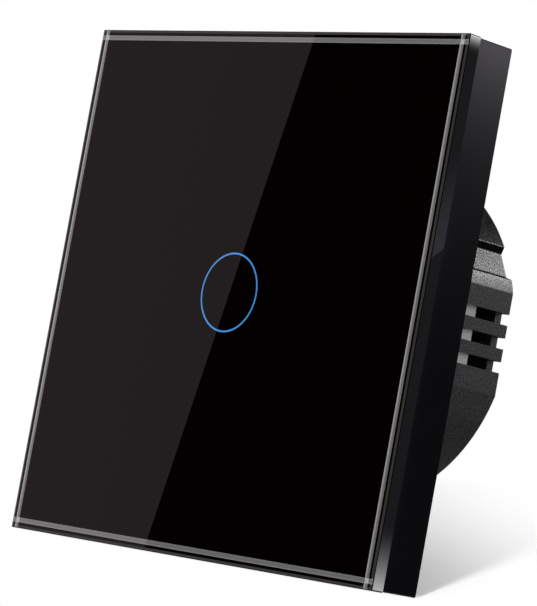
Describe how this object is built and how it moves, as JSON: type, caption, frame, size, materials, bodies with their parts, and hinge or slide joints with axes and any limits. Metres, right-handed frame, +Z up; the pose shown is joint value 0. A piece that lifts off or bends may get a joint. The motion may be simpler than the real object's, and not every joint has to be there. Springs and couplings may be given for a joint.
{
  "type": "touch light switch",
  "caption": "Wall switch with a square black glass touch panel, a glowing ring, a snap-off cover and a round rear housing with vent slots and screw terminals.",
  "frame": {"origin": "midway between the two fixing slots, on the wall's surface", "axes": "+X to the right seen from the front, +Y into the wall, +Z up"},
  "size_m": [0.086, 0.0369, 0.086],
  "materials": {
    "black_glass": "polished, black from behind",
    "mask_black": "printed film",
    "tape_white": "double-sided foam tape",
    "cover_black": "satin moulded",
    "plate_black": "moulded, fine texture",
    "housing_black": "moulded, spark-eroded texture",
    "board_green": "solder resist on glass fibre",
    "guide_clear": "clear, lit blue",
    "shroud_black": "moulded",
    "spring_metal": "plated spring wire",
    "led_white": "cast resin",
    "package_black": "moulded package",
    "screw_zinc": "zinc plated",
    "relay_grey": "moulded case",
    "capacitor_yellow": "moulded case",
    "can_sleeve": "sleeved can",
    "core_ferrite": "ferrite and tape",
    "varistor_blue": "dipped coating",
    "fuse_brown": "moulded case",
    "pole_black": "moulded",
    "terminal_brass": "plain brass"
  },
  "bodies": {
    "base": {"mounting_plate": "plate_black", "touch_board": "board_green", "touch_spring": "spring_metal", "light_guide": "guide_clear", "light_shroud": "shroud_black", "indicator_leds": "led_white", "touch_chip": "package_black", "board_header": "package_black", "board_socket": "package_black", "touch_board_screws": "screw_zinc", "rear_housing": "housing_black", "housing_screws": "screw_zinc", "power_board": "board_green", "power_board_screws": "screw_zinc", "relay": "relay_grey", "film_capacitor": "capacitor_yellow", "filter_capacitors": "can_sleeve", "transformer": "core_ferrite", "varistor": "varistor_blue", "fuse": "fuse_brown", "rectifier": "package_black", "terminal_tabs": "terminal_brass", "terminal_pole_1": "pole_black", "terminal_pole_2": "pole_black", "terminal_pole_3": "pole_black"},
    "front_panel": {"glass_panel": "black_glass", "mask_film": "mask_black", "adhesive_tape": "tape_white", "front_cover": "cover_black"},
    "screw_1": {"terminal_screw_1": "screw_zinc"},
    "cage_1": {"terminal_cage_1": "terminal_brass"},
    "screw_2": {"terminal_screw_2": "screw_zinc"},
    "cage_2": {"terminal_cage_2": "terminal_brass"},
    "screw_3": {"terminal_screw_3": "screw_zinc"},
    "cage_3": {"terminal_cage_3": "terminal_brass"}
  },
  "joints": [
    {"name": "panel_slide", "type": "slide", "parent": "base", "child": "front_panel", "axis": [0, -1, 0], "range_m": [0, 0.03]},
    {"name": "screw_1_turn", "type": "hinge", "parent": "base", "child": "screw_1", "pos_m": [-0.0083, 0.0245, -0.0187], "axis": [0, -1, 0], "range_deg": [0, 2016]},
    {"name": "cage_1_rise", "type": "slide", "parent": "base", "child": "cage_1", "axis": [0, 1, 0], "range_m": [0, 0.0028]},
    {"name": "screw_2_turn", "type": "hinge", "parent": "base", "child": "screw_2", "pos_m": [0, 0.0245, -0.0187], "axis": [0, -1, 0], "range_deg": [0, 2016]},
    {"name": "cage_2_rise", "type": "slide", "parent": "base", "child": "cage_2", "axis": [0, 1, 0], "range_m": [0, 0.0028]},
    {"name": "screw_3_turn", "type": "hinge", "parent": "base", "child": "screw_3", "pos_m": [0.0083, 0.0245, -0.0187], "axis": [0, -1, 0], "range_deg": [0, 2016]},
    {"name": "cage_3_rise", "type": "slide", "parent": "base", "child": "cage_3", "axis": [0, 1, 0], "range_m": [0, 0.0028]}
  ],
  "couplings": [
    {"joint": "screw_1_turn", "follows": "cage_1_rise", "rad_per_m": 12566},
    {"joint": "screw_2_turn", "follows": "cage_2_rise", "rad_per_m": 12566},
    {"joint": "screw_3_turn", "follows": "cage_3_rise", "rad_per_m": 12566}
  ]
}
